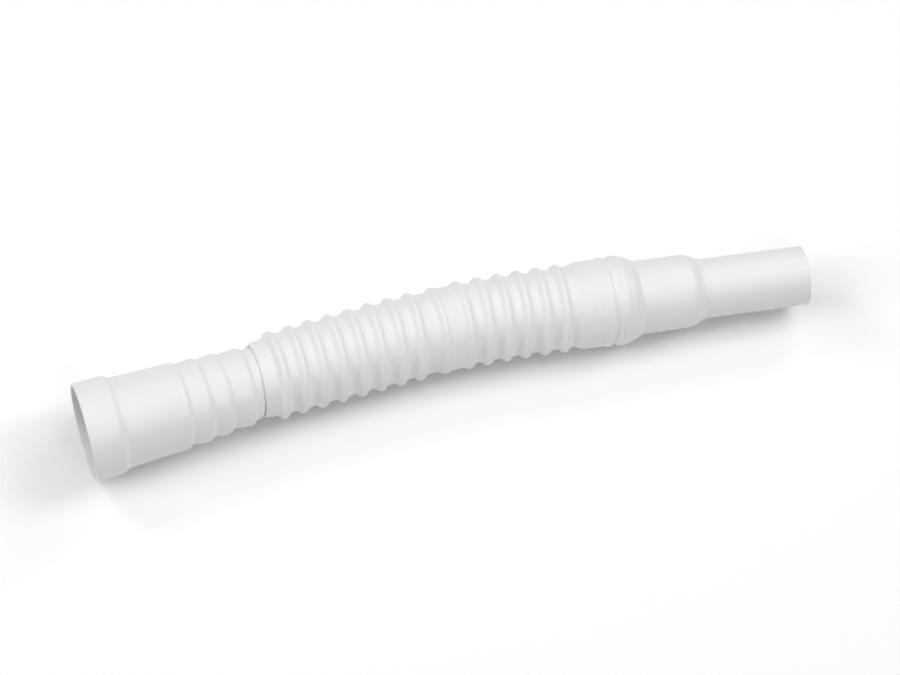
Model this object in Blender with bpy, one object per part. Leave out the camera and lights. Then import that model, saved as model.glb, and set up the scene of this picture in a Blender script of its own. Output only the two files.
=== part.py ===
"""Collapsible waste pipe, blow-moulded in one piece of white polypropylene.

From -X to +X it is a socket for 50 mm pipe, a taper of shallow ribs, a fold where the wall
is turned in under a sleeve, a bellows, a beaded cuff and a stepped spigot, 40 and 32 mm.
It lies on its side, bent a little in the plane of the floor. The section of its wall is
drawn along a straight axis, turned into a tube and then laid along the bent centre line.

Metres, +Z up. The origin is under the middle of the pipe's box, on the floor. Places along
the pipe are measured from the rim of the socket. A soft corner is given as pairs of shares:
how far along the step it lies, and how much of the step is made there.
"""

import math

import bmesh
import bpy
import numpy as np
from mathutils import Matrix, Vector

MM = 0.001

# Walls
WALL = 1.1 * MM
SOCKET_WALL = 1.35 * MM
SPIGOT_WALL = 1.3 * MM
SEGMENTS = 28

# Socket and the plain taper behind it
SOCKET_BORE = 50.2 * MM
SOCKET_LENGTH = 15.4 * MM
SOCKET_STEP = 4.6 * MM
SOCKET_STEP_SOFT = ((0.25, 0.2), (0.65, 0.8))
RIM_CHAMFER = 0.4 * MM
TAPER_START = 48.8 * MM
TAPER_LENGTH = 27.3 * MM

# Shallow ribs: each rises slowly from the socket's side and drops short and steep
RIB_SPACINGS = (3.5 * MM, 11.7 * MM, 11.0 * MM, 12.7 * MM)
RIB_FIRST = 47.3 * MM
RIB_LAST = 42.6 * MM
RIB_HEIGHT = 1.4 * MM
RIB_FLAT = 1.7 * MM
RIB_DROP = 3.8 * MM
RIB_ROUND = 1.3 * MM
RIB_SOFT = 0.15

# Fold at the sleeve's lip
RIB_TO_LIP = 8.6 * MM
NECK_DIAMETER = 38.4 * MM
NECK_TO_LIP = 1.3 * MM
LIP_DIAMETER = 41.1 * MM
LIP_ROUND = 0.5 * MM
LIP_THICKNESS = 1.3 * MM
FOLD_DEPTH = 4.6 * MM
FOLD_DROP = 2.4 * MM
FOLD_MOUTH = 0.5 * MM
FOLD_GAP = 0.4 * MM
FOLD_NOTCH = 1.8 * MM
FOLD_TURN_STEPS = 4
SLEEVE_LENGTH = 11.6 * MM
SLEEVE_FLARE = 0.5 * MM

# Bellows
VALLEY_DIAMETER = 43.4 * MM
RIDGE_HEIGHT = 2.25 * MM
RIDGE_HALF_WIDTH = 3.65 * MM
RIDGE_LEFT_SOFT = 0.66
RIDGE_RIGHT_SOFT = 0.74
LEFT_RIDGES = 8
LEFT_PITCH = 10.94 * MM
MIDDLE_SPACING = 13.9 * MM
MIDDLE_RIDGE_HEIGHT = 1.9 * MM
MIDDLE_BAND_RISE = 0.85 * MM
RIGHT_RIDGES = 6
RIGHT_PITCH = 10.6 * MM

# Cuff with two beads
CUFF_DIAMETER = 47.2 * MM
CUFF_RISE_LENGTH = 10.1 * MM
CUFF_RISE_SOFT = ((0.5, 0.3), (0.8, 0.8))
CUFF_LENGTH = 11.7 * MM
BEAD_HEIGHT = 0.65 * MM
BEAD_HALF_WIDTH = 2.0 * MM
BEAD_SPACING = 8.8 * MM
BEAD_GROOVE = 0.5 * MM

# Stepped spigot
SHOULDER_LENGTH = 8.5 * MM
SHOULDER_SOFT = ((0.45, 0.38), (0.78, 0.8), (0.9, 0.95))
WIDE_SPIGOT = 39.8 * MM
WIDE_SPIGOT_LENGTH = 28.1 * MM
STEP_LENGTH = 6.1 * MM
STEP_SOFT = ((0.1, 0.12), (0.9, 0.9))
NARROW_SPIGOT = 32.2 * MM
NARROW_SPIGOT_LENGTH = 57.5 * MM
SPIGOT_TAPER = 0.15 * MM
SPIGOT_EASE = 1.5 * MM

# Bend in the plane of the floor, and how far the rings stand off square to it: a lean turns
# a ring back about the upright, a pitch tips its top towards the spigot
BEND_ANGLE = math.radians(9.2)
BEND_AT = 210.4 * MM
BEND_SPREAD = 43 * MM
RIM_LEAN = math.radians(2.3)
SOCKET_LEAN = math.radians(2.0)
RIB_LEAN = math.radians(0.9)
SLEEVE_LEAN = math.radians(4.0)
MIDDLE_LEAN = math.radians(1.7)
CUFF_LEAN = math.radians(0.4)
BEAD_LEAN = math.radians(-1.0)
SPIGOT_LEAN = math.radians(-0.5)
RIM_PITCH = math.radians(-2.5)
RIB_PITCH = math.radians(3.0)
SLEEVE_PITCH = math.radians(2.6)
MIDDLE_PITCH = math.radians(2.2)
CUFF_PITCH = math.radians(1.1)
BEAD_PITCH = math.radians(2.4)

# The socket end sits a little to one side where the fold lets it slip
SOCKET_OFFSET = 2.1 * MM
RIB_OFFSET = 1.5 * MM
FOLD_OFFSET = 1.7 * MM
SLEEVE_OFFSET = 0.4 * MM

# Length over which the limp bellows comes down to the floor, and leaves it again
SAG_SPREAD = 20 * MM
LINE_STEP = 1 * MM

# Places along the pipe, worked out from the lengths above
TAPER_FROM = SOCKET_LENGTH + SOCKET_STEP
TAPER_TO = TAPER_FROM + TAPER_LENGTH
RIBS_AT = [TAPER_TO + sum(RIB_SPACINGS[: i + 1]) for i in range(len(RIB_SPACINGS))]
LIP_AT = RIBS_AT[-1] + RIB_TO_LIP
FOLD_END = LIP_AT + FOLD_DEPTH
LEFT_AT = [LIP_AT + SLEEVE_LENGTH + i * LEFT_PITCH for i in range(LEFT_RIDGES)]
MIDDLE_AT = LEFT_AT[-1] + MIDDLE_SPACING
RIGHT_AT = [MIDDLE_AT + MIDDLE_SPACING + i * RIGHT_PITCH for i in range(RIGHT_RIDGES)]
CUFF_FROM = RIGHT_AT[-1] + CUFF_RISE_LENGTH
FIRST_BEAD_AT = CUFF_FROM + CUFF_LENGTH + BEAD_HALF_WIDTH
LAST_BEAD_AT = FIRST_BEAD_AT + BEAD_SPACING
SHOULDER_FROM = LAST_BEAD_AT + BEAD_HALF_WIDTH
WIDE_FROM = SHOULDER_FROM + SHOULDER_LENGTH
WIDE_TO = WIDE_FROM + WIDE_SPIGOT_LENGTH
NARROW_FROM = WIDE_TO + STEP_LENGTH
PIPE_LENGTH = NARROW_FROM + NARROW_SPIGOT_LENGTH

# Radii that several features share
SOCKET_RADIUS = SOCKET_BORE / 2 + SOCKET_WALL
VALLEY_RADIUS = VALLEY_DIAMETER / 2
CREST_RADIUS = VALLEY_RADIUS + RIDGE_HEIGHT
BAND_RADIUS = VALLEY_RADIUS + MIDDLE_BAND_RISE
CUFF_RADIUS = CUFF_DIAMETER / 2
BEAD_RADIUS = CUFF_RADIUS + BEAD_HEIGHT
LIP_RADIUS = LIP_DIAMETER / 2
FOLD_RADIUS = LIP_RADIUS - FOLD_DROP

PLASTIC_COLOUR = (0.86, 0.87, 0.87, 1.0)
PLASTIC_ROUGHNESS = 0.42
SHARP_EDGE = math.radians(50)


def clear_scene():
    for item in list(bpy.data.objects):
        bpy.data.objects.remove(item, do_unlink=True)


def blend(low, high, share):
    return low + (high - low) * share


def soft_step(start, length, first, last, shares):
    """A step from one radius to another, with the soft corners that the shares give."""
    corners = ((0.0, 0.0),) + shares + ((1.0, 1.0),)
    return [(start + length * along, blend(first, last, made)) for along, made in corners]


def rib_radius(index):
    share = index / (len(RIBS_AT) - 1)
    return blend(RIB_FIRST, RIB_LAST, share) / 2


def ribs_outside():
    """The taper's ribs, each as the end of its slow rise, its crest and its drop."""
    points = []
    ease = RIB_HEIGHT * RIB_SOFT
    for index, at in enumerate(RIBS_AT):
        crest = rib_radius(index)
        foot = crest - RIB_HEIGHT
        points.append((at - RIB_ROUND, crest - ease))
        points.append((at + RIB_FLAT - RIB_ROUND, crest))
        points.append((at + RIB_FLAT, crest - ease))
        points.append((at + RIB_DROP, foot))
    return points


def ribs_inside():
    """The same ribs on the bore's side, with their corners left soft."""
    points = []
    for index, at in enumerate(RIBS_AT):
        crest = rib_radius(index) - WALL
        ease = RIB_HEIGHT * RIB_SOFT
        points.append((at - RIB_ROUND, crest - ease))
        points.append((at + RIB_FLAT - WALL / 2, crest - ease))
        points.append((at + RIB_DROP - WALL / 2, crest - RIB_HEIGHT))
    return points


def fold_outside():
    """The wall goes in under the lip, turns back to it and comes out as the sleeve."""
    roof = LIP_RADIUS - LIP_THICKNESS
    return [
        (LIP_AT - NECK_TO_LIP, NECK_DIAMETER / 2),
        (LIP_AT + LIP_ROUND, roof - FOLD_MOUTH),
        (FOLD_END, FOLD_RADIUS - FOLD_GAP),
        (FOLD_END, FOLD_RADIUS),
        (LIP_AT + LIP_ROUND, roof),
        (LIP_AT, LIP_RADIUS - LIP_ROUND),
        (LIP_AT + LIP_ROUND, LIP_RADIUS),
    ]


def fold_inside():
    """The bore's side of the fold, round its turned end and on to the sleeve."""
    roof = LIP_RADIUS - LIP_THICKNESS
    sleeve = LIP_RADIUS + SLEEVE_FLARE / 2 - WALL
    middle = FOLD_RADIUS - FOLD_GAP / 2
    size = FOLD_GAP / 2 + WALL
    points = [
        (LIP_AT - NECK_TO_LIP - LIP_ROUND, NECK_DIAMETER / 2 - WALL),
        (LIP_AT + LIP_ROUND, roof - FOLD_MOUTH - WALL),
    ]
    for step in range(FOLD_TURN_STEPS + 1):
        angle = math.pi * (step / FOLD_TURN_STEPS - 0.5)
        points.append((FOLD_END + size * math.cos(angle), middle + size * math.sin(angle)))
    points.append((FOLD_END - FOLD_NOTCH, sleeve))
    points.append((FOLD_END + FOLD_NOTCH, sleeve))
    return points


def ridge_outside(at, left, crest, right):
    """One ridge of the bellows, from its left foot over a round crest to its right foot."""
    half = RIDGE_HALF_WIDTH
    return [
        (at - half, left),
        (at - half / 2, blend(left, crest, RIDGE_LEFT_SOFT)),
        (at, crest),
        (at + half / 2, blend(right, crest, RIDGE_RIGHT_SOFT)),
        (at + half, right),
    ]


def ridge_inside(at, left, crest, right):
    half = RIDGE_HALF_WIDTH - WALL / 4
    return [(at - half, left - WALL), (at, crest - WALL), (at + half, right - WALL)]


def bellows(ridge):
    """Every ridge, drawn by the function given for one side of the wall."""
    points = []
    sleeve = LIP_RADIUS + SLEEVE_FLARE
    for index, at in enumerate(LEFT_AT):
        left = sleeve if index == 0 else VALLEY_RADIUS
        points += ridge(at, left, CREST_RADIUS, VALLEY_RADIUS)
    middle = VALLEY_RADIUS + MIDDLE_RIDGE_HEIGHT
    points += ridge(MIDDLE_AT, VALLEY_RADIUS, middle, BAND_RADIUS)
    for index, at in enumerate(RIGHT_AT):
        left = BAND_RADIUS if index == 0 else VALLEY_RADIUS
        points += ridge(at, left, CREST_RADIUS, VALLEY_RADIUS)
    return points


def cuff_outside():
    """The plain band after the bellows, and its two beads with a groove between them."""
    rise_from = RIGHT_AT[-1] + RIDGE_HALF_WIDTH
    points = soft_step(rise_from, CUFF_FROM - rise_from, VALLEY_RADIUS, CUFF_RADIUS, CUFF_RISE_SOFT)[1:]
    points.append((CUFF_FROM + CUFF_LENGTH, CUFF_RADIUS))
    for at in (FIRST_BEAD_AT, LAST_BEAD_AT):
        points.append((at - BEAD_HALF_WIDTH / 3, BEAD_RADIUS))
        points.append((at + BEAD_HALF_WIDTH / 3, BEAD_RADIUS))
        if at == FIRST_BEAD_AT:
            points.append((at + BEAD_SPACING / 2, CUFF_RADIUS - BEAD_GROOVE))
    return points


def cuff_inside():
    rise_from = RIGHT_AT[-1] + RIDGE_HALF_WIDTH
    bore = CUFF_RADIUS - WALL
    points = soft_step(rise_from, CUFF_FROM - rise_from, VALLEY_RADIUS - WALL, bore, CUFF_RISE_SOFT)[1:]
    points.append((FIRST_BEAD_AT + BEAD_SPACING / 2, bore - BEAD_GROOVE))
    points.append((SHOULDER_FROM - WALL / 2, bore))
    return points


def spigot_outside():
    """The shoulder, the 40 mm step, the step down and the 32 mm end with its soft edge."""
    wide = WIDE_SPIGOT / 2
    narrow = NARROW_SPIGOT / 2
    end = narrow - SPIGOT_TAPER
    points = soft_step(SHOULDER_FROM, SHOULDER_LENGTH, CUFF_RADIUS, wide, SHOULDER_SOFT)
    points.append((WIDE_TO - SPIGOT_EASE, wide - SPIGOT_TAPER))
    points += soft_step(WIDE_TO, STEP_LENGTH, wide - SPIGOT_TAPER, narrow, STEP_SOFT)[1:-1]
    points.append((NARROW_FROM + SPIGOT_EASE, narrow))
    points.append((PIPE_LENGTH - RIM_CHAMFER, end))
    points.append((PIPE_LENGTH, end - RIM_CHAMFER))
    return points


def spigot_inside():
    wide = WIDE_SPIGOT / 2 - SPIGOT_WALL
    narrow = NARROW_SPIGOT / 2 - SPIGOT_WALL
    return [
        (WIDE_FROM - SPIGOT_WALL / 2, wide),
        (WIDE_TO - SPIGOT_WALL, wide - SPIGOT_TAPER),
        (NARROW_FROM - SPIGOT_WALL / 2, narrow),
        (PIPE_LENGTH, narrow - SPIGOT_TAPER),
    ]


def wall_section():
    """The wall's closed outline as (place along the pipe, radius), outside and then bore."""
    tube = TAPER_START / 2
    bore = SOCKET_BORE / 2
    outside = [(0.0, SOCKET_RADIUS - RIM_CHAMFER), (RIM_CHAMFER, SOCKET_RADIUS)]
    outside += soft_step(SOCKET_LENGTH, SOCKET_STEP, SOCKET_RADIUS, tube, SOCKET_STEP_SOFT)
    outside += ribs_outside() + fold_outside() + bellows(ridge_outside)
    outside += cuff_outside() + spigot_outside()
    inside = [(0.0, bore), (SOCKET_LENGTH, bore), (TAPER_FROM - WALL, tube - WALL)]
    inside.append((TAPER_TO, RIB_FIRST / 2 - WALL))
    inside += ribs_inside() + fold_inside() + bellows(ridge_inside)
    inside += cuff_inside() + spigot_inside()
    return outside + inside[::-1]


def turned_tube(section):
    """Turns the section about the X axis, with a flat of the ring downwards."""
    mesh = bmesh.new()
    half_step = math.pi / SEGMENTS
    downwards = Vector((0.0, math.sin(half_step), -math.cos(half_step)))
    corners = [mesh.verts.new(Vector((along, 0.0, 0.0)) + downwards * radius) for along, radius in section]
    edges = [mesh.edges.new((corners[i - 1], corner)) for i, corner in enumerate(corners)]
    bmesh.ops.spin(
        mesh,
        geom=corners + edges,
        cent=(0.0, 0.0, 0.0),
        axis=(1.0, 0.0, 0.0),
        angle=math.tau,
        steps=SEGMENTS,
        use_merge=True,
    )
    bmesh.ops.recalc_face_normals(mesh, faces=mesh.faces)
    return mesh


def smooth_turn(along, at, spread):
    """Goes from 0 to 1 around a place along the pipe."""
    return 0.5 + 0.5 * np.tanh((along - at) / spread)


def centre_line():
    """Places, heading and slope of the bent line that the rings are threaded on."""
    along = np.arange(0.0, PIPE_LENGTH + LINE_STEP, LINE_STEP)
    heading = BEND_ANGLE * (1 - smooth_turn(along, BEND_AT, BEND_SPREAD))
    touch_down = LEFT_AT[1]
    lift_off = RIGHT_AT[2]
    down = (SOCKET_RADIUS - CREST_RADIUS) / (touch_down - SOCKET_LENGTH)
    up = (BEAD_RADIUS - CREST_RADIUS) / (LAST_BEAD_AT - lift_off)
    slope = up * smooth_turn(along, lift_off, SAG_SPREAD)
    slope -= down * (1 - smooth_turn(along, touch_down, SAG_SPREAD))
    x = np.concatenate([[0.0], np.cumsum(np.cos(heading[:-1]))]) * LINE_STEP
    y = np.concatenate([[0.0], np.cumsum(np.sin(heading[:-1]))]) * LINE_STEP
    z = np.concatenate([[0.0], np.cumsum(slope[:-1])]) * LINE_STEP
    aim = math.atan2(y[-1], x[-1])
    return along, x, y, z, heading, slope, aim


def lay_along(mesh, line):
    """Moves every ring of the straight tube to its place on the centre line."""
    along, x, y, z, heading, slope, aim = line
    lean_at = (0.0, SOCKET_LENGTH, RIBS_AT[0], RIBS_AT[-1], LEFT_AT[0], BEND_AT, CUFF_FROM)
    lean_at += (LAST_BEAD_AT, WIDE_FROM)
    lean = (RIM_LEAN, SOCKET_LEAN, RIB_LEAN, RIB_LEAN, SLEEVE_LEAN, MIDDLE_LEAN, CUFF_LEAN)
    lean += (BEAD_LEAN, SPIGOT_LEAN)
    pitch_at = (0.0, SOCKET_LENGTH, RIBS_AT[0], RIBS_AT[-1], LIP_AT, BEND_AT, RIGHT_AT[-2])
    pitch_at += (RIGHT_AT[-1], FIRST_BEAD_AT, LAST_BEAD_AT, WIDE_FROM)
    pitch = (RIM_PITCH, 0.0, RIB_PITCH, RIB_PITCH, SLEEVE_PITCH, MIDDLE_PITCH, MIDDLE_PITCH)
    pitch += (CUFF_PITCH, BEAD_PITCH, BEAD_PITCH, 0.0)
    slip_at = (RIBS_AT[1], RIBS_AT[-1], LIP_AT - 2 * WALL, LIP_AT + WALL, LEFT_AT[0])
    slip = (SOCKET_OFFSET, RIB_OFFSET, FOLD_OFFSET, SLEEVE_OFFSET, 0.0)
    for vert in mesh.verts:
        at = vert.co.x
        head = np.interp(at, along, heading)
        ring = Vector((0.0, vert.co.y, vert.co.z))
        turn = Matrix.Rotation(head - np.interp(at, lean_at, lean), 3, "Z")
        pitch_here = np.interp(at, pitch_at, pitch)
        tilt = Matrix.Rotation(pitch_here - math.atan(np.interp(at, along, slope)), 3, "Y")
        sideways = float(np.interp(at, slip_at, slip))
        centre = Vector((np.interp(at, along, x), np.interp(at, along, y), np.interp(at, along, z)))
        centre += Vector((math.sin(head), -math.cos(head), 0.0)) * sideways
        vert.co = centre + turn @ tilt @ ring
    bmesh.ops.rotate(mesh, verts=mesh.verts, cent=(0.0, 0.0, 0.0), matrix=Matrix.Rotation(-aim, 3, "Z"))


def stand_on_origin(mesh):
    """Puts the middle of the box over the origin and its lowest point on the floor."""
    corners = np.array([vert.co for vert in mesh.verts])
    low, high = corners.min(axis=0), corners.max(axis=0)
    middle = (low + high) / 2
    bmesh.ops.translate(mesh, verts=mesh.verts, vec=(-middle[0], -middle[1], -low[2]))


def plastic():
    material = bpy.data.materials.new("white_polypropylene")
    material.use_nodes = True
    shader = material.node_tree.nodes["Principled BSDF"]
    shader.inputs["Base Color"].default_value = PLASTIC_COLOUR
    shader.inputs["Roughness"].default_value = PLASTIC_ROUGHNESS
    shader.inputs["Metallic"].default_value = 0.0
    return material


def waste_pipe():
    mesh = turned_tube(wall_section())
    lay_along(mesh, centre_line())
    stand_on_origin(mesh)
    data = bpy.data.meshes.new("waste_pipe")
    mesh.to_mesh(data)
    mesh.free()
    data.shade_smooth()
    data.set_sharp_from_angle(angle=SHARP_EDGE)
    data.materials.append(plastic())
    pipe = bpy.data.objects.new("waste_pipe", data)
    bpy.context.scene.collection.objects.link(pipe)
    return pipe


def main():
    clear_scene()
    waste_pipe()


main()
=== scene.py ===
"""Collapsible waste pipe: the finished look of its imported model.

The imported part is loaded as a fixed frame. One moulded wall in white polypropylene stands
for its single node, with the soft corners, the small dents and the skin of blow moulding. A
pale floor, soft studio lights and the camera complete the scene. Metres, +Z up. Places along
the pipe are measured from the rim of the socket, and the near side is the one in the photo.
The corners of a soft step or a ridge are shares of its length and of its height.
"""

import math
from typing import NamedTuple

import bmesh
import bpy
import numpy as np
from bpy.props import FloatProperty, FloatVectorProperty, IntProperty, PointerProperty
from mathutils import Matrix, Vector, noise


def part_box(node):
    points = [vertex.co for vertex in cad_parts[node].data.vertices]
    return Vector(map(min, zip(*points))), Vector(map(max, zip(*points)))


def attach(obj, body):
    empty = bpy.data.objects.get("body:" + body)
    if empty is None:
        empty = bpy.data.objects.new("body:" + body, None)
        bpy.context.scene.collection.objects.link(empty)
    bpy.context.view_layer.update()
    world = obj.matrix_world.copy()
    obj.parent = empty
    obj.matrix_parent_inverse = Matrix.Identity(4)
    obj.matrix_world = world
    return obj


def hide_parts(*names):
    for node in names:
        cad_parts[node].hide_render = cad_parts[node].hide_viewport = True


bl_info = {
    "name": "Collapsible waste pipe",
    "version": (1, 0, 0),
    "blender": (4, 5, 0),
    "location": "View3D > Sidebar > Waste pipe",
    "description": "Moulds the finished wall of a bellows waste pipe and sets its studio",
    "category": "Object",
}

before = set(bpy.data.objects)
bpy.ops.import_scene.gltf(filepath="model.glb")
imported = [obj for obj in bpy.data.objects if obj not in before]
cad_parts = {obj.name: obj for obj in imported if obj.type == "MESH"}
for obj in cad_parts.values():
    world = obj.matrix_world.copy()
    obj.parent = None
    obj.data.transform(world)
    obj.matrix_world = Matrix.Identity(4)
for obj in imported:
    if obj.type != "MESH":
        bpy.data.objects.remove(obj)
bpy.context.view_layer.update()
MM = 0.001


class Dent(NamedTuple):
    """A place where the limp wall is pressed in, or swells out if its depth is negative.

    at and half_length are measured along the pipe. middle and reach are degrees round it, from
    the top towards the near side.
    """

    at: float
    half_length: float
    middle: float
    reach: float
    depth: float


class Stray(NamedTuple):
    """How far a ring strays along the pipe: at the top and, added to that, on the near side."""

    at: float
    top: float
    near: float


class SoftLight(NamedTuple):
    """A square soft light: its place and the length of its side."""

    place: tuple
    size: float


# Walls
WALL = 1.1 * MM
SOCKET_WALL = 1.35 * MM
SPIGOT_WALL = 1.3 * MM

# Flats around the pipe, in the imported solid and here
CAD_FLATS = 28
FLATS = 112
MOST_FLATS = 128

# Socket and the plain taper behind it
SOCKET_BORE = 50.2 * MM
SOCKET_LENGTH = 15.4 * MM
SOCKET_STEP = 4.6 * MM
SOCKET_STEP_SOFT = ((0.25, 0.2), (0.65, 0.8))
RIM_ROUND = 0.4 * MM
TAPER_START = 48.8 * MM
TAPER_LENGTH = 27.3 * MM

# Shallow ribs
RIB_SPACINGS = (3.5 * MM, 11.7 * MM, 11.0 * MM, 12.7 * MM)
RIB_FIRST = 47.3 * MM
RIB_LAST = 42.6 * MM
RIB_HEIGHT = 1.65 * MM
RIB_FLAT = 1.7 * MM
RIB_DROP = 3.8 * MM
RIB_ROUND = 1.3 * MM
RIB_SOFT = 0.15

# Fold at the sleeve's lip
RIB_TO_LIP = 8.6 * MM
NECK_DIAMETER = 38.4 * MM
NECK_TO_LIP = 1.3 * MM
LIP_DIAMETER = 41.1 * MM
LIP_ROUND = 0.7 * MM
LIP_FACE = 1.8 * MM
LIP_THICKNESS = 1.6 * MM
FOLD_DEPTH = 4.6 * MM
FOLD_DROP = 2.4 * MM
FOLD_MOUTH = 0.14 * MM
FOLD_GAP = 0.4 * MM
FOLD_NOTCH = 1.8 * MM
SLEEVE_LENGTH = 11.6 * MM
SLEEVE_FLARE = 0.5 * MM

# Bellows
VALLEY_DIAMETER = 43.4 * MM
RIDGE_HEIGHT = 2.25 * MM
RIDGE_HALF_WIDTH = 3.65 * MM
RIDGE_LEFT = ((-1.0, 0.0), (-0.82, 0.1), (-0.33, 0.92))
RIDGE_RIGHT = ((0.03, 1.0), (0.27, 0.95), (0.8, 0.17), (1.2, 0.0))
LEFT_RIDGES = 8
LEFT_PITCH = 10.94 * MM
MIDDLE_SPACING = 13.9 * MM
MIDDLE_RIDGE_HEIGHT = 1.9 * MM
MIDDLE_BAND_RISE = 0.85 * MM
RIGHT_RIDGES = 6
RIGHT_PITCH = 10.6 * MM

# Cuff with two beads
CUFF_DIAMETER = 47.2 * MM
CUFF_RISE_LENGTH = 10.1 * MM
CUFF_RISE_SOFT = ((0.5, 0.3), (0.8, 0.8))
CUFF_LENGTH = 11.7 * MM
BEAD_HEIGHT = 0.65 * MM
BEAD_HALF_WIDTH = 2.0 * MM
BEAD_SPACING = 8.8 * MM
BEAD_GROOVE = 0.8 * MM
GROOVE_LEFT = 1.2 * MM
GROOVE_AT = 3.2 * MM
GROOVE_RIGHT = 5.6 * MM

# Stepped spigot
SHOULDER_LENGTH = 8.5 * MM
SHOULDER_SOFT = ((0.42, 0.32), (0.92, 0.98))
WIDE_SPIGOT = 39.8 * MM
WIDE_SPIGOT_LENGTH = 28.1 * MM
STEP_LENGTH = 6.1 * MM
STEP_SOFT = ((0.1, 0.12), (0.9, 0.9))
NARROW_SPIGOT = 32.2 * MM
NARROW_SPIGOT_LENGTH = 57.5 * MM
SPIGOT_TAPER = 0.15 * MM
SPIGOT_EASE = 1.5 * MM

# Bend of the pipe, and how gently it rises from the bellows to the socket and the last bead
BEND_ANGLE = math.radians(9.2)
BEND_AT = 210.4 * MM
BEND_SPREAD = 43 * MM
SAG_SPREAD = 20 * MM
LINE_STEP = 1 * MM

# Places along the pipe
TAPER_FROM = SOCKET_LENGTH + SOCKET_STEP
TAPER_TO = TAPER_FROM + TAPER_LENGTH
RIBS_AT = [TAPER_TO + sum(RIB_SPACINGS[: i + 1]) for i in range(len(RIB_SPACINGS))]
LIP_AT = RIBS_AT[-1] + RIB_TO_LIP
FOLD_FROM = LIP_AT - 2 * WALL
FOLD_END = LIP_AT + FOLD_DEPTH
LEFT_AT = [LIP_AT + SLEEVE_LENGTH + i * LEFT_PITCH for i in range(LEFT_RIDGES)]
MIDDLE_AT = LEFT_AT[-1] + MIDDLE_SPACING
RIGHT_AT = [MIDDLE_AT + MIDDLE_SPACING + i * RIGHT_PITCH for i in range(RIGHT_RIDGES)]
CUFF_FROM = RIGHT_AT[-1] + CUFF_RISE_LENGTH
FIRST_BEAD_AT = CUFF_FROM + CUFF_LENGTH + BEAD_HALF_WIDTH
LAST_BEAD_AT = FIRST_BEAD_AT + BEAD_SPACING
SHOULDER_FROM = LAST_BEAD_AT + BEAD_HALF_WIDTH
WIDE_FROM = SHOULDER_FROM + SHOULDER_LENGTH
WIDE_TO = WIDE_FROM + WIDE_SPIGOT_LENGTH
NARROW_FROM = WIDE_TO + STEP_LENGTH
PIPE_LENGTH = NARROW_FROM + NARROW_SPIGOT_LENGTH

# Lean of the rings towards the near side, by place
RIB_LEAN = math.radians(0.9)
LEANS = (
    (0.0, math.radians(2.3)),
    (SOCKET_LENGTH, math.radians(2.0)),
    (RIBS_AT[0], RIB_LEAN),
    (RIBS_AT[-1], RIB_LEAN),
    (LEFT_AT[0], math.radians(4.0)),
    (BEND_AT, math.radians(1.7)),
    (CUFF_FROM, math.radians(0.4)),
    (LAST_BEAD_AT, math.radians(-1.0)),
    (WIDE_FROM, math.radians(-0.5)),
)

# Pitch of the rings up and down, by place
RIB_PITCH = math.radians(3.0)
MIDDLE_PITCH = math.radians(2.2)
BEAD_PITCH = math.radians(2.4)
PITCHES = (
    (0.0, math.radians(-2.5)),
    (SOCKET_LENGTH, 0.0),
    (RIBS_AT[0], RIB_PITCH),
    (RIBS_AT[-1], RIB_PITCH),
    (LIP_AT, math.radians(2.6)),
    (BEND_AT, MIDDLE_PITCH),
    (RIGHT_AT[-2], MIDDLE_PITCH),
    (RIGHT_AT[-1], math.radians(1.1)),
    (FIRST_BEAD_AT, BEAD_PITCH),
    (LAST_BEAD_AT, BEAD_PITCH),
    (WIDE_FROM, 0.0),
)

# Slip of the socket's end to one side, up to the fold, by place
SLIPS = (
    (RIBS_AT[1], 2.1 * MM),
    (RIBS_AT[-1], 1.5 * MM),
    (FOLD_FROM, 1.7 * MM),
    (LIP_AT + WALL, 0.4 * MM),
    (LEFT_AT[0], 0.0),
)

# Short creases on the cuff and the last bead
CREASE = 0.3 * MM
BEAD_CREASE_AT = LAST_BEAD_AT - 2.4 * MM
CUFF_CREASE_AT = CUFF_FROM + 5.4 * MM
CREASES = (
    Dent(at=CUFF_FROM - 2.6 * MM, half_length=CREASE, middle=-6, reach=16, depth=0.12 * MM),
    Dent(at=CUFF_FROM, half_length=CREASE, middle=-2, reach=9, depth=0.12 * MM),
    Dent(at=CUFF_CREASE_AT, half_length=CREASE, middle=30, reach=9, depth=0.12 * MM),
    Dent(at=BEAD_CREASE_AT, half_length=CREASE, middle=-8, reach=26, depth=0.15 * MM),
    Dent(at=BEAD_CREASE_AT, half_length=CREASE, middle=70, reach=22, depth=0.3 * MM),
)

# Hollows behind the lip and the ribs, a swelling on the neck's far side, and squeezed valleys
NEXT_TO_MIDDLE = (MIDDLE_AT - 2.5 * MM, MIDDLE_AT + 2.3 * MM)
BEFORE_RIDGE = 5 * MM
SQUEEZED_AT = [at - BEFORE_RIDGE for at in LEFT_AT[2:] + RIGHT_AT[1:]]
DENTS = [
    Dent(at=LIP_AT + 1.5 * MM, half_length=3.5 * MM, middle=115, reach=45, depth=0.45 * MM),
    *(Dent(at + 4.4 * MM, half_length=3.6 * MM, middle=105, reach=50, depth=0.55 * MM) for at in RIBS_AT),
    Dent(at=LIP_AT - 1.2 * MM, half_length=2.5 * MM, middle=-80, reach=50, depth=-0.35 * MM),
    *(Dent(at, half_length=1.7 * MM, middle=5, reach=62, depth=0.3 * MM) for at in NEXT_TO_MIDDLE),
    Dent(at=RIGHT_AT[0] - 2.4 * MM, half_length=1.7 * MM, middle=5, reach=62, depth=0.4 * MM),
    *(Dent(at, half_length=1.9 * MM, middle=77, reach=30, depth=0.3 * MM) for at in SQUEEZED_AT),
]

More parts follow.
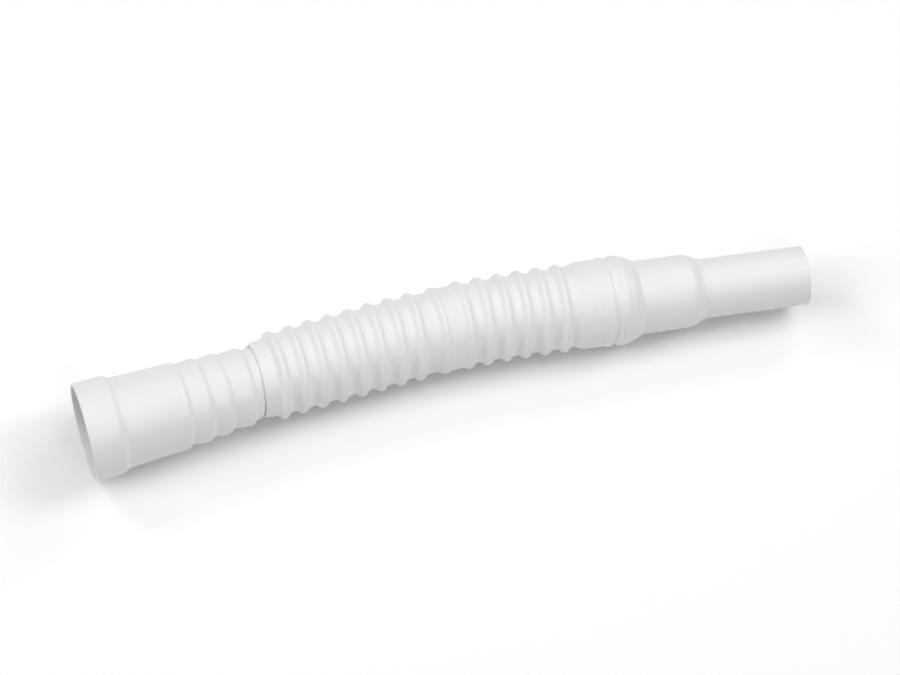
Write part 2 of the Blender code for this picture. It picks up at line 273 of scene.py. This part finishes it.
# Rings that stray along the pipe
STRAYED = (
    Stray(RIBS_AT[1], top=0.15 * MM, near=0.2 * MM),
    Stray(RIBS_AT[2], top=0.05 * MM, near=0.4 * MM),
    Stray(RIBS_AT[3], top=0.5 * MM, near=0.7 * MM),
    Stray(FOLD_FROM, top=0.0, near=0.0),
    Stray(FOLD_END, top=0.0, near=0.0),
    Stray(LEFT_AT[0], top=0.1 * MM, near=0.8 * MM),
    Stray(LEFT_AT[1], top=0.1 * MM, near=0.1 * MM),
    Stray(LEFT_AT[4], top=0.25 * MM, near=0.0),
    Stray(LEFT_AT[5], top=0.3 * MM, near=-0.55 * MM),
    Stray(LEFT_AT[6], top=0.5 * MM, near=-0.45 * MM),
    Stray(LEFT_AT[7], top=0.6 * MM, near=-0.9 * MM),
    Stray(MIDDLE_AT, top=-0.1 * MM, near=0.8 * MM),
    Stray(RIGHT_AT[0], top=-0.4 * MM, near=0.6 * MM),
    Stray(RIGHT_AT[1], top=0.05 * MM, near=-0.15 * MM),
    Stray(RIGHT_AT[3], top=0.0, near=0.0),
)

# Unevenness of the limp part, between the ribs and the shoulder: broad swells and finer ones
LIMP_FADE = 15 * MM
SWELL_SIZE = 22 * MM
FINE_SWELLS = 3
DRIFT_NOISE_AT = Vector((7.0, 3.0, 5.0))
FAR_SIDE_SHARE = -0.5

# Radii that several features share
SOCKET_RADIUS = SOCKET_BORE / 2 + SOCKET_WALL
VALLEY_RADIUS = VALLEY_DIAMETER / 2
CREST_RADIUS = VALLEY_RADIUS + RIDGE_HEIGHT
BAND_RADIUS = VALLEY_RADIUS + MIDDLE_BAND_RISE
CUFF_RADIUS = CUFF_DIAMETER / 2
BEAD_RADIUS = CUFF_RADIUS + BEAD_HEIGHT
LIP_RADIUS = LIP_DIAMETER / 2
FOLD_RADIUS = LIP_RADIUS - FOLD_DROP

# How far back from a corner its rounding starts, and the points laid on each rounding
BROAD = 1.6 * MM
SOFT = 0.9 * MM
NEAT = 0.6 * MM
CRISP = 0.3 * MM
NEARLY_HALF = 0.49
ROUND_POINTS = 2
LONGEST_SPAN = 2.6 * MM

# Skin of the plastic: how fine its patterns are, and what each adds
CLOUDS = {"Scale": 28.0, "Detail": 3.0, "Roughness": 0.5}
SKIN = {"Scale": 900.0, "Detail": 3.0, "Roughness": 0.6}
WAVES = {"Scale": 140.0, "Detail": 2.0, "Roughness": 0.5}
MOULD_LINE_PITCH = 0.9 * MM
COOL_TINT = (0.975, 0.99, 1.0)
WARM_TINT = (1.0, 0.995, 0.985)
ROUGHNESS_OFFSET = -0.05
CLOUD_ROUGHNESS = 0.06
SKIN_ROUGHNESS = 0.06
SKIN_HEIGHT = 0.25
WAVE_HEIGHT = 0.5
LINE_HEIGHT = 0.06
BUMP_STRENGTH = 0.25
BUMP_DEPTH = 0.1 * MM

# Studio
FLOOR_HALF = 4.0
FLOOR_ROUGHNESS = 0.9
OVERHEAD_LIGHT = SoftLight(place=(0.0, 0.0, 1.2), size=1.2)
RIGHT_LIGHT = SoftLight(place=(1.03, 0.0, 1.23), size=0.7)
LEFT_LIGHT = SoftLight(place=(-1.03, 0.0, 1.23), size=0.7)
LOW_LIGHT = SoftLight(place=(-1.45, 0.0, 0.68), size=0.5)
FRONT_LIGHT = SoftLight(place=(0.0, -1.03, 1.23), size=0.5)
BACK_LEFT_LIGHT = SoftLight(place=(-0.87, 0.87, 1.03), size=0.5)
BACK_RIGHT_LIGHT = SoftLight(place=(0.87, 0.87, 1.03), size=0.5)
BACK_LEFT_SHARE = 1.2
BACK_RIGHT_SHARE = 0.8

# Camera, at the photo's viewing angle
CAMERA_AIM = (0.0, 0.0, 0.025)
CAMERA_DISTANCE = 2.18
CAMERA_AZIMUTH = math.radians(24.978)
CAMERA_ELEVATION = math.radians(65.0)
CAMERA_ROLL = math.radians(10.720)
CAMERA_LENS = 164.38
CAMERA_SENSOR = 36.0
CAMERA_SHIFT = (0.00344, 0.00709)
CAMERA_CLIP = (0.1, 20.0)


class WallSettings(bpy.types.PropertyGroup):
    """Fineness and unevenness of the moulded wall."""

    segments: IntProperty(
        name="Segments", description="Flats around the pipe", default=FLATS, min=CAD_FLATS, max=MOST_FLATS
    )
    dent: FloatProperty(
        name="Dents", description="How far the limp wall strays from round", default=0.12 * MM, unit="LENGTH"
    )
    drift: FloatProperty(
        name="Drift", description="How far a ridge strays along the pipe", default=0.2 * MM, unit="LENGTH"
    )


class PlasticSettings(bpy.types.PropertyGroup):
    """Colour and skin of the polypropylene."""

    colour: FloatVectorProperty(
        name="Colour",
        description="Colour of the moulded plastic",
        default=(0.815, 0.82, 0.82),
        subtype="COLOR",
    )
    roughness: FloatProperty(
        name="Roughness", description="Roughness of the moulded skin", default=0.42, subtype="FACTOR"
    )


class StudioSettings(bpy.types.PropertyGroup):
    """Floor and lights."""

    floor_colour: FloatVectorProperty(
        name="Floor", description="Colour of the studio floor", default=(0.96, 0.96, 0.96), subtype="COLOR"
    )
    sky: FloatProperty(name="Surround", description="Strength of the white surround", default=0.03)
    overhead: FloatProperty(
        name="Overhead", description="Power of the large light above", default=5.1, unit="POWER"
    )
    right: FloatProperty(
        name="Right", description="Power of the light over the spigot's end", default=8.4, unit="POWER"
    )
    left: FloatProperty(
        name="Left", description="Power of the light over the socket's end", default=5.4, unit="POWER"
    )
    low: FloatProperty(
        name="Low", description="Power of the low light at the socket's end", default=2.8, unit="POWER"
    )
    front: FloatProperty(
        name="Front", description="Power of the light before the pipe", default=4.0, unit="POWER"
    )
    back: FloatProperty(
        name="Back", description="Power of the two lights behind", default=4.0, unit="POWER"
    )


def blend(low, high, share):
    return low + (high - low) * share


def soft_step(start, length, first, last, shares, soft):
    """A step from one radius to another, with the corners that the shares give."""
    corners = ((0.0, 0.0),) + shares + ((1.0, 1.0),)
    return [(start + length * along, blend(first, last, made), soft) for along, made in corners]


def rib_radius(index):
    share = index / (len(RIBS_AT) - 1)
    return blend(RIB_FIRST, RIB_LAST, share) / 2


def ribs_outside():
    corners = []
    ease = RIB_HEIGHT * RIB_SOFT
    for index, at in enumerate(RIBS_AT):
        crest = rib_radius(index)
        foot = crest - RIB_HEIGHT
        corners.append((at - RIB_ROUND, crest - ease, NEAT))
        corners.append((at + RIB_FLAT - RIB_ROUND, crest, NEAT))
        corners.append((at + RIB_FLAT, crest - ease, NEAT))
        corners.append((at + RIB_DROP, foot, NEAT))
    return corners


def ribs_inside():
    corners = []
    ease = RIB_HEIGHT * RIB_SOFT
    for index, at in enumerate(RIBS_AT):
        crest = rib_radius(index) - WALL
        corners.append((at - RIB_ROUND, crest - ease, SOFT))
        corners.append((at + RIB_FLAT - WALL / 2, crest - ease, SOFT))
        corners.append((at + RIB_DROP - WALL / 2, crest - RIB_HEIGHT, SOFT))
    return corners


def fold_outside():
    """The wall goes in under the lip, turns back to it and comes out as the sleeve."""
    roof = LIP_RADIUS - LIP_THICKNESS
    return [
        (LIP_AT - NECK_TO_LIP, NECK_DIAMETER / 2, SOFT),
        (LIP_AT + LIP_ROUND, roof - FOLD_MOUTH, SOFT),
        (FOLD_END, FOLD_RADIUS - FOLD_GAP, CRISP),
        (FOLD_END, FOLD_RADIUS, CRISP),
        (LIP_AT + LIP_ROUND, roof, CRISP),
        (LIP_AT, roof + LIP_ROUND, CRISP),
        (LIP_AT + LIP_ROUND, LIP_RADIUS - LIP_ROUND / 2, NEAT),
        (LIP_AT + LIP_FACE, LIP_RADIUS, SOFT),
    ]


def fold_inside():
    """The bore's side of the fold, round its turned end and on to the sleeve."""
    roof = LIP_RADIUS - LIP_THICKNESS
    sleeve = LIP_RADIUS + SLEEVE_FLARE / 2 - WALL
    middle = FOLD_RADIUS - FOLD_GAP / 2
    size = FOLD_GAP / 2 + WALL
    return [
        (LIP_AT - NECK_TO_LIP - LIP_ROUND, NECK_DIAMETER / 2 - WALL, SOFT),
        (LIP_AT + LIP_ROUND, roof - FOLD_MOUTH - WALL, SOFT),
        (FOLD_END + size, middle - size, size),
        (FOLD_END + size, middle + size, size),
        (FOLD_END - FOLD_NOTCH, sleeve, CRISP),
        (FOLD_END + FOLD_NOTCH, sleeve, SOFT),
    ]


def ridge_outside(at, left, crest, right):
    """One ridge of the bellows, from its left foot over a narrow crest to its longer right foot."""
    corners = []
    for foot, shares in ((left, RIDGE_LEFT), (right, RIDGE_RIGHT)):
        for along, made in shares:
            corners.append((at + RIDGE_HALF_WIDTH * along, blend(foot, crest, made), NEAT))
    return corners


def ridge_inside(at, left, crest, right):
    half = RIDGE_HALF_WIDTH - WALL / 4
    return [(at - half, left - WALL, BROAD), (at, crest - WALL, BROAD), (at + half, right - WALL, BROAD)]


def bellows(ridge):
    """Every ridge, drawn by the function given for one side of the wall."""
    corners = []
    sleeve = LIP_RADIUS + SLEEVE_FLARE
    for index, at in enumerate(LEFT_AT):
        left = sleeve if index == 0 else VALLEY_RADIUS
        corners += ridge(at, left, CREST_RADIUS, VALLEY_RADIUS)
    middle = VALLEY_RADIUS + MIDDLE_RIDGE_HEIGHT
    corners += ridge(MIDDLE_AT, VALLEY_RADIUS, middle, BAND_RADIUS)
    for index, at in enumerate(RIGHT_AT):
        left = BAND_RADIUS if index == 0 else VALLEY_RADIUS
        corners += ridge(at, left, CREST_RADIUS, VALLEY_RADIUS)
    return corners


def cuff_outside():
    """The plain band after the bellows, and its two beads with a groove between them."""
    rise_from = RIGHT_AT[-1] + RIDGE_HALF_WIDTH
    length = CUFF_FROM - rise_from
    corners = soft_step(rise_from, length, VALLEY_RADIUS, CUFF_RADIUS, CUFF_RISE_SOFT, BROAD)[1:]
    corners.append((CUFF_CREASE_AT, CUFF_RADIUS, CREASE))
    corners.append((CUFF_FROM + CUFF_LENGTH, CUFF_RADIUS, SOFT))
    corners.append((FIRST_BEAD_AT - BEAD_HALF_WIDTH / 3, BEAD_RADIUS, SOFT))
    corners.append((FIRST_BEAD_AT + GROOVE_LEFT, BEAD_RADIUS, CRISP))
    corners.append((FIRST_BEAD_AT + GROOVE_AT, CUFF_RADIUS - BEAD_GROOVE, NEAT))
    corners.append((FIRST_BEAD_AT + GROOVE_RIGHT, BEAD_RADIUS, NEAT))
    corners.append((BEAD_CREASE_AT, BEAD_RADIUS, CREASE))
    corners.append((LAST_BEAD_AT + BEAD_HALF_WIDTH / 3, BEAD_RADIUS, SOFT))
    return corners


def cuff_inside():
    rise_from = RIGHT_AT[-1] + RIDGE_HALF_WIDTH
    length = CUFF_FROM - rise_from
    bore = CUFF_RADIUS - WALL
    corners = soft_step(rise_from, length, VALLEY_RADIUS - WALL, bore, CUFF_RISE_SOFT, BROAD)[1:]
    corners.append((FIRST_BEAD_AT + BEAD_SPACING / 2, bore - BEAD_GROOVE, BROAD))
    corners.append((SHOULDER_FROM - WALL / 2, bore, BROAD))
    return corners


def spigot_outside():
    """The shoulder, the 40 mm step, the step down and the 32 mm end with its soft edge."""
    wide = WIDE_SPIGOT / 2
    narrow = NARROW_SPIGOT / 2
    end = narrow - SPIGOT_TAPER
    corners = soft_step(SHOULDER_FROM, SHOULDER_LENGTH, CUFF_RADIUS, wide, SHOULDER_SOFT, NEAT)
    corners.append((WIDE_TO - SPIGOT_EASE, wide - SPIGOT_TAPER, BROAD))
    corners += soft_step(WIDE_TO, STEP_LENGTH, wide - SPIGOT_TAPER, narrow, STEP_SOFT, SOFT)[1:-1]
    corners.append((NARROW_FROM + SPIGOT_EASE, narrow, BROAD))
    corners.append((PIPE_LENGTH, end, RIM_ROUND))
    return corners


def spigot_inside():
    wide = WIDE_SPIGOT / 2 - SPIGOT_WALL
    narrow = NARROW_SPIGOT / 2 - SPIGOT_WALL
    return [
        (WIDE_FROM - SPIGOT_WALL / 2, wide, SOFT),
        (WIDE_TO - SPIGOT_WALL, wide - SPIGOT_TAPER, BROAD),
        (NARROW_FROM - SPIGOT_WALL / 2, narrow, BROAD),
        (PIPE_LENGTH, narrow - SPIGOT_TAPER, CRISP / 2),
    ]


def rounded(corners, points):
    """Lays points on a curve round each corner, and on any long span between corners."""
    line = []
    for index, (along, radius, soft) in enumerate(corners):
        corner = np.array((along, radius))
        before = np.array(corners[index - 1][:2]) - corner
        after = np.array(corners[(index + 1) % len(corners)][:2]) - corner
        start = before * min(NEARLY_HALF, soft / np.hypot(*before))
        end = after * min(NEARLY_HALF, soft / np.hypot(*after))
        for step in range(points + 1):
            share = step / points
            line.append(corner + start * (1 - share) ** 2 + end * share**2)
    spread = []
    for index, point in enumerate(line):
        gap = point - line[index - 1]
        parts = 1 + int(np.hypot(*gap) / LONGEST_SPAN)
        spread += [line[index - 1] + gap * part / parts for part in range(1, parts)]
        spread.append(point)
    return spread


def wall_section():
    """The wall's closed outline as (place along the pipe, radius), outside and then bore."""
    tube = TAPER_START / 2
    bore = SOCKET_BORE / 2
    outside = [(0.0, SOCKET_RADIUS, RIM_ROUND)]
    outside += soft_step(SOCKET_LENGTH, SOCKET_STEP, SOCKET_RADIUS, tube, SOCKET_STEP_SOFT, NEAT)
    outside += ribs_outside() + fold_outside() + bellows(ridge_outside)
    outside += cuff_outside() + spigot_outside()
    inside = [(0.0, bore, CRISP / 2), (SOCKET_LENGTH, bore, SOFT), (TAPER_FROM - WALL, tube - WALL, SOFT)]
    inside.append((TAPER_TO, RIB_FIRST / 2 - WALL, BROAD))
    inside += ribs_inside() + fold_inside() + bellows(ridge_inside)
    inside += cuff_inside() + spigot_inside()
    return rounded(outside + inside[::-1], ROUND_POINTS)


def turned_tube(section, segments):
    """Turns the section about the X axis."""
    mesh = bmesh.new()
    corners = [mesh.verts.new((along, 0.0, -radius)) for along, radius in section]
    edges = [mesh.edges.new((corners[i - 1], corner)) for i, corner in enumerate(corners)]
    bmesh.ops.spin(
        mesh,
        geom=corners + edges,
        cent=(0.0, 0.0, 0.0),
        axis=(1.0, 0.0, 0.0),
        angle=math.tau,
        steps=segments,
        use_merge=True,
    )
    bmesh.ops.recalc_face_normals(mesh, faces=mesh.faces)
    return mesh


def smooth_turn(along, at, spread):
    """Goes from 0 to 1 around a place along the pipe."""
    return 0.5 + 0.5 * np.tanh((along - at) / spread)


def read_off(rows, at):
    """The value at each place, on straight lines between the rows' places."""
    places, values = zip(*rows)
    return np.interp(at, places, values)


def centre_line():
    """Places, heading and slope of the bent line that the rings are threaded on."""
    along = np.arange(0.0, PIPE_LENGTH + LINE_STEP, LINE_STEP)
    heading = BEND_ANGLE * (1 - smooth_turn(along, BEND_AT, BEND_SPREAD))
    touch_down = LEFT_AT[1]
    lift_off = RIGHT_AT[2]
    down = (SOCKET_RADIUS - CREST_RADIUS) / (touch_down - SOCKET_LENGTH)
    up = (BEAD_RADIUS - CREST_RADIUS) / (LAST_BEAD_AT - lift_off)
    slope = up * smooth_turn(along, lift_off, SAG_SPREAD)
    slope -= down * (1 - smooth_turn(along, touch_down, SAG_SPREAD))
    x = np.concatenate([[0.0], np.cumsum(np.cos(heading[:-1]))]) * LINE_STEP
    y = np.concatenate([[0.0], np.cumsum(np.sin(heading[:-1]))]) * LINE_STEP
    z = np.concatenate([[0.0], np.cumsum(slope[:-1])]) * LINE_STEP
    return along, x, y, z, heading, slope, math.atan2(y[-1], x[-1])


def laid_along(points, line):
    """Moves the points of the straight tube to their places on the centre line."""
    along, x, y, z, heading, slope, aim = line
    at = points[:, 0]
    head = np.interp(at, along, heading) - aim
    turn = head - read_off(LEANS, at)
    tilt = np.arctan(np.interp(at, along, slope)) - read_off(PITCHES, at)
    sideways = read_off(SLIPS, at)
    centre_x = np.interp(at, along, x) * math.cos(aim) + np.interp(at, along, y) * math.sin(aim)
    centre_y = np.interp(at, along, y) * math.cos(aim) - np.interp(at, along, x) * math.sin(aim)
    centre_z = np.interp(at, along, z)
    forward = -np.sin(tilt) * points[:, 2]
    across = points[:, 1]
    return np.stack(
        [
            centre_x + np.sin(head) * sideways + np.cos(turn) * forward - np.sin(turn) * across,
            centre_y - np.cos(head) * sideways + np.sin(turn) * forward + np.cos(turn) * across,
            centre_z + np.cos(tilt) * points[:, 2],
        ],
        axis=1,
    )


def window(at, start, end, fade):
    """0 outside two places along the pipe, and 1 once it has faded in between them."""
    return np.clip((at - start) / fade, 0, 1) * np.clip((end - at) / fade, 0, 1)


def pressed_in(along, around, dents):
    """How far the wall is pressed in at each point."""
    total = np.zeros(len(along))
    for dent in dents:
        near = np.clip(1 - ((along - dent.at) / dent.half_length) ** 2, 0, 1) ** 2
        total += dent.depth * near * np.clip(1 - ((around - dent.middle) / dent.reach) ** 2, 0, 1)
    return total


def strayed(points, dent, drift):
    """Small dents and drifts of the limp wall, which leave the rims true."""
    along = points[:, 0]
    places = points / SWELL_SIZE
    swell = np.array(
        [noise.noise(Vector(place)) + noise.noise(Vector(place * FINE_SWELLS)) / 2 for place in places]
    )
    shift = np.array([noise.noise(Vector(place) + DRIFT_NOISE_AT) for place in places])
    limp = window(along, RIBS_AT[0], SHOULDER_FROM, LIMP_FADE)
    radius = np.hypot(points[:, 1], points[:, 2])
    around = np.degrees(np.arctan2(-points[:, 1], points[:, 2]))
    outer = radius > CUFF_RADIUS - WALL / 2
    pressed = pressed_in(along, around, CREASES) * outer + pressed_in(along, around, DENTS)
    moved = points.copy()
    moved[:, 1:] *= (1 - (dent * limp * (1 + swell) + pressed) / radius)[:, None]
    at, top, near = np.array(STRAYED).T
    near_share = np.clip(-points[:, 1] / radius, FAR_SIDE_SHARE, 1)
    moved[:, 0] += drift * limp * shift
    moved[:, 0] += np.interp(along, at, top, 0, 0) + np.interp(along, at, near, 0, 0) * near_share
    return moved


class WP_OT_mould_wall(bpy.types.Operator):
    """Mould the pipe's wall and give it its finish"""

    bl_idname = "waste_pipe.mould_wall"
    bl_label = "Mould the wall"

    def execute(self, context):
        settings = context.scene.waste_pipe_wall
        mesh = turned_tube(wall_section(), settings.segments)
        data = bpy.data.meshes.new("moulded_wall")
        mesh.to_mesh(data)
        mesh.free()
        points = np.empty(len(data.vertices) * 3)
        data.vertices.foreach_get("co", points)
        points = points.reshape(-1, 3)
        along = data.attributes.new("along", "FLOAT", "POINT")
        along.data.foreach_set("value", points[:, 0].astype(np.float32))
        places = strayed(points, settings.dent, settings.drift)
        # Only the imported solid's corners reach its full radius, so the wall is drawn in to its flats
        places[:, 1:] *= math.cos(math.pi / CAD_FLATS)
        places = laid_along(places, centre_line())
        low, high = places.min(axis=0), places.max(axis=0)
        frame_low, frame_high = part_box("waste_pipe")
        places[:, :2] += (np.array((frame_low + frame_high) / 2) - (low + high) / 2)[:2]
        places[:, 2] -= low[2]
        data.vertices.foreach_set("co", places.ravel())
        data.update()
        data.shade_smooth()
        data.materials.append(polypropylene(context.scene.waste_pipe_plastic))
        wall = bpy.data.objects.new("moulded_wall", data)
        context.scene.collection.objects.link(wall)
        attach(wall, "root")
        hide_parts("waste_pipe")
        return {"FINISHED"}


class Socket:
    """A shader socket that can be written in sums and products."""

    def __init__(self, tree, source):
        self.tree = tree
        self.source = source

    def node(self, kind, settings=(), inputs=(), output=0):
        """Adds a node with its settings, feeds its inputs and returns one output."""
        made = self.tree.nodes.new(kind)
        for name, value in dict(settings).items():
            setattr(made, name, value)
        for name, value in dict(inputs).items():
            if isinstance(value, Socket):
                self.tree.links.new(value.source, made.inputs[name])
            else:
                made.inputs[name].default_value = value
        return Socket(self.tree, made.outputs[output])

    def maths(self, operation, *values):
        return self.node("ShaderNodeMath", {"operation": operation}, dict(enumerate(values)))

    def sine(self):
        return self.maths("SINE", self)

    def __add__(self, other):
        return self.maths("ADD", self, other)

    __radd__ = __add__

    def __mul__(self, other):
        return self.maths("MULTIPLY", self, other)

    __rmul__ = __mul__


def tinted(colour, tint):
    return tuple(value * share for value, share in zip(colour, tint)) + (1.0,)


def polypropylene(settings):
    """White blow-moulded plastic: satin skin, cloudy colour, fine mould marks."""
    material = bpy.data.materials.new("white_polypropylene")
    material.use_nodes = True
    tree = material.node_tree
    shader = tree.nodes["Principled BSDF"]
    place = Socket(tree, None).node("ShaderNodeTexCoord", output="Object")
    along = place.node("ShaderNodeAttribute", {"attribute_name": "along"}, output="Fac")
    clouds = place.node("ShaderNodeTexNoise", inputs={"Vector": place, **CLOUDS})
    skin = place.node("ShaderNodeTexNoise", inputs={"Vector": place, **SKIN})
    waves = place.node("ShaderNodeTexNoise", inputs={"Vector": place, **WAVES})
    lines = (along * (math.tau / MOULD_LINE_PITCH)).sine()
    colour = place.node(
        "ShaderNodeMix",
        {"data_type": "RGBA"},
        {0: clouds, 6: tinted(settings.colour, COOL_TINT), 7: tinted(settings.colour, WARM_TINT)},
        output=2,
    )
    roughness = settings.roughness + ROUGHNESS_OFFSET + clouds * CLOUD_ROUGHNESS + skin * SKIN_ROUGHNESS
    height = skin * SKIN_HEIGHT + waves * WAVE_HEIGHT + lines * LINE_HEIGHT
    bump = place.node(
        "ShaderNodeBump", inputs={"Strength": BUMP_STRENGTH, "Distance": BUMP_DEPTH, "Height": height}
    )
    tree.links.new(colour.source, shader.inputs["Base Color"])
    tree.links.new(roughness.source, shader.inputs["Roughness"])
    tree.links.new(bump.source, shader.inputs["Normal"])
    return material


def pale_floor(colour):
    material = bpy.data.materials.new("pale_floor")
    material.use_nodes = True
    shader = material.node_tree.nodes["Principled BSDF"]
    shader.inputs["Base Color"].default_value = tuple(colour) + (1.0,)
    shader.inputs["Roughness"].default_value = FLOOR_ROUGHNESS
    return material


def hang(name, soft_light, power):
    """Hangs a soft light so that it faces the pipe."""
    data = bpy.data.lights.new(name, "AREA")
    data.size = soft_light.size
    data.energy = power
    light = bpy.data.objects.new(name, data)
    light.location = soft_light.place
    light.rotation_euler = (-Vector(soft_light.place)).to_track_quat("-Z", "Y").to_euler()
    bpy.context.scene.collection.objects.link(light)


class WP_OT_set_studio(bpy.types.Operator):
    """Lay the floor, hang the lights and place the camera"""

    bl_idname = "waste_pipe.set_studio"
    bl_label = "Set the studio"

    def execute(self, context):
        scene = context.scene
        settings = scene.waste_pipe_studio
        self.lay_floor(scene, settings)
        self.light_up(scene, settings)
        self.place_camera(scene)
        return {"FINISHED"}

    def lay_floor(self, scene, settings):
        mesh = bmesh.new()
        bmesh.ops.create_grid(mesh, x_segments=1, y_segments=1, size=FLOOR_HALF)
        data = bpy.data.meshes.new("studio_floor")
        mesh.to_mesh(data)
        mesh.free()
        data.materials.append(pale_floor(settings.floor_colour))
        floor = bpy.data.objects.new("studio_floor", data)
        scene.collection.objects.link(floor)

    def light_up(self, scene, settings):
        world = scene.world or bpy.data.worlds.new("studio")
        scene.world = world
        world.use_nodes = True
        surround = world.node_tree.nodes["Background"]
        surround.inputs["Color"].default_value = (1.0, 1.0, 1.0, 1.0)
        surround.inputs["Strength"].default_value = settings.sky
        hang("overhead_softbox", OVERHEAD_LIGHT, settings.overhead)
        hang("right_softbox", RIGHT_LIGHT, settings.right)
        hang("left_softbox", LEFT_LIGHT, settings.left)
        hang("low_softbox", LOW_LIGHT, settings.low)
        hang("front_softbox", FRONT_LIGHT, settings.front)
        hang("back_left_softbox", BACK_LEFT_LIGHT, settings.back * BACK_LEFT_SHARE)
        hang("back_right_softbox", BACK_RIGHT_LIGHT, settings.back * BACK_RIGHT_SHARE)
        scene.view_settings.view_transform = "Standard"

    def place_camera(self, scene):
        heading = Vector((math.sin(CAMERA_AZIMUTH), math.cos(CAMERA_AZIMUTH), 0.0))
        view = heading * math.cos(CAMERA_ELEVATION) - Vector((0.0, 0.0, math.sin(CAMERA_ELEVATION)))
        level = Vector((math.cos(CAMERA_AZIMUTH), -math.sin(CAMERA_AZIMUTH), 0.0))
        upright = level.cross(view)
        right = level * math.cos(CAMERA_ROLL) + upright * math.sin(CAMERA_ROLL)
        up = upright * math.cos(CAMERA_ROLL) - level * math.sin(CAMERA_ROLL)
        data = bpy.data.cameras.new("photo_camera")
        data.lens = CAMERA_LENS
        data.sensor_width = CAMERA_SENSOR
        data.shift_x, data.shift_y = CAMERA_SHIFT
        data.clip_start, data.clip_end = CAMERA_CLIP
        camera = bpy.data.objects.new("photo_camera", data)
        camera.location = Vector(CAMERA_AIM) - view * CAMERA_DISTANCE
        camera.rotation_euler = Matrix((right, up, -view)).transposed().to_euler()
        scene.collection.objects.link(camera)
        scene.camera = camera


class WP_PT_panel(bpy.types.Panel):
    """Sizes, plastic and studio of the waste pipe"""

    bl_label = "Waste pipe"
    bl_space_type = "VIEW_3D"
    bl_region_type = "UI"
    bl_category = "Waste pipe"

    def draw(self, context):
        layout = self.layout
        scene = context.scene
        for group in (scene.waste_pipe_wall, scene.waste_pipe_plastic, scene.waste_pipe_studio):
            box = layout.box()
            for name in group.__annotations__:
                box.prop(group, name)
        layout.operator(WP_OT_mould_wall.bl_idname)
        layout.operator(WP_OT_set_studio.bl_idname)


CLASSES = (WallSettings, PlasticSettings, StudioSettings, WP_OT_mould_wall, WP_OT_set_studio, WP_PT_panel)


def register():
    for item in CLASSES:
        bpy.utils.register_class(item)
    bpy.types.Scene.waste_pipe_wall = PointerProperty(type=WallSettings)
    bpy.types.Scene.waste_pipe_plastic = PointerProperty(type=PlasticSettings)
    bpy.types.Scene.waste_pipe_studio = PointerProperty(type=StudioSettings)


def unregister():
    del bpy.types.Scene.waste_pipe_wall
    del bpy.types.Scene.waste_pipe_plastic
    del bpy.types.Scene.waste_pipe_studio
    for item in reversed(CLASSES):
        bpy.utils.unregister_class(item)


def main():
    register()
    bpy.ops.waste_pipe.mould_wall()
    bpy.ops.waste_pipe.set_studio()


if __name__ == "__main__":
    main()
